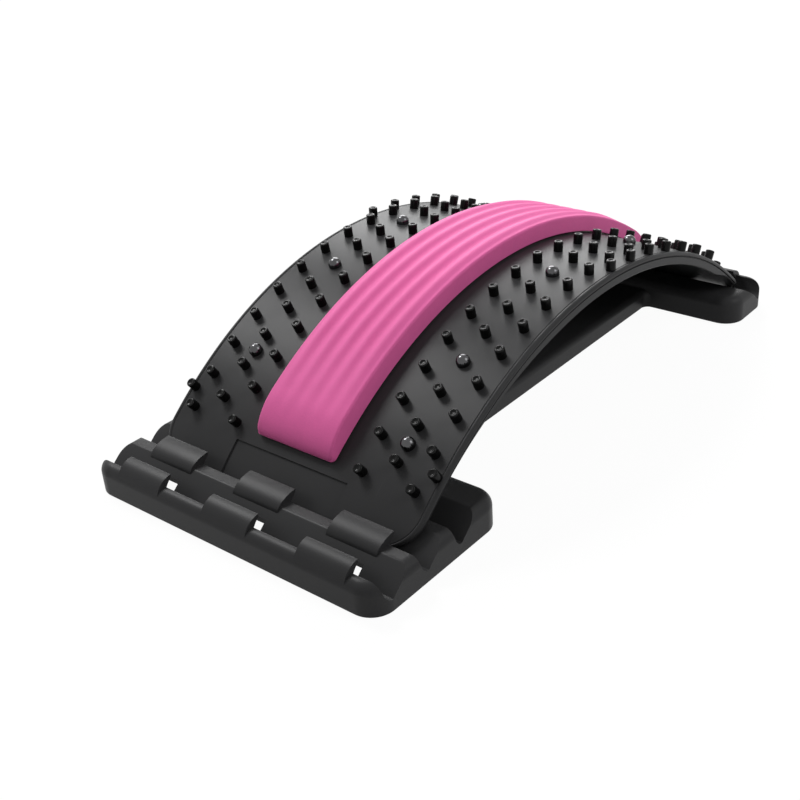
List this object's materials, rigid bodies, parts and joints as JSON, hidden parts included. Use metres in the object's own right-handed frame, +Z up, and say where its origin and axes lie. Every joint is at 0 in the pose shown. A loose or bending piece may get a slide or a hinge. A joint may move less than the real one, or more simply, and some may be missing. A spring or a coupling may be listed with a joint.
{
  "type": "lumbar back stretcher",
  "caption": "Arched massage panel with blunt knobs, domed magnets and a ribbed foam pad, held by its ends in a low base that has three hooked height levels at one end.",
  "frame": {"origin": "on the ground, under the middle of the base frame", "axes": "+X along the arch, from the end plate with three levels to the other; +Y across it; +Z up, away from the ground"},
  "size_m": [0.436, 0.216, 0.1066],
  "materials": {
    "moulding": "satin black moulded plastic with a fine spark-eroded grain",
    "dark_chrome": "polished dark nickel plate",
    "foam": "matt pink closed-cell foam",
    "film": "clear double-sided adhesive film",
    "rubber": "matt black rubber"
  },
  "bodies": {
    "base": {"base_frame": "moulding", "foot_near_right": "rubber", "foot_near_left": "rubber", "foot_far_right": "rubber", "foot_far_left": "rubber"},
    "arch": {"arch_panel": "moulding", "lumbar_pad": "foam", "pad_adhesive_film": "film", "magnet_right_1": "dark_chrome", "magnet_right_2": "dark_chrome", "magnet_right_3": "dark_chrome", "magnet_right_4": "dark_chrome", "magnet_right_5": "dark_chrome", "magnet_left_1": "dark_chrome", "magnet_left_2": "dark_chrome", "magnet_left_3": "dark_chrome", "magnet_left_4": "dark_chrome", "magnet_left_5": "dark_chrome"}
  },
  "joints": [
    {"name": "panel_slide", "type": "slide", "parent": "base", "child": "arch", "axis": [0, 1, 0], "range_m": [-0.225, 0.225]}
  ]
}
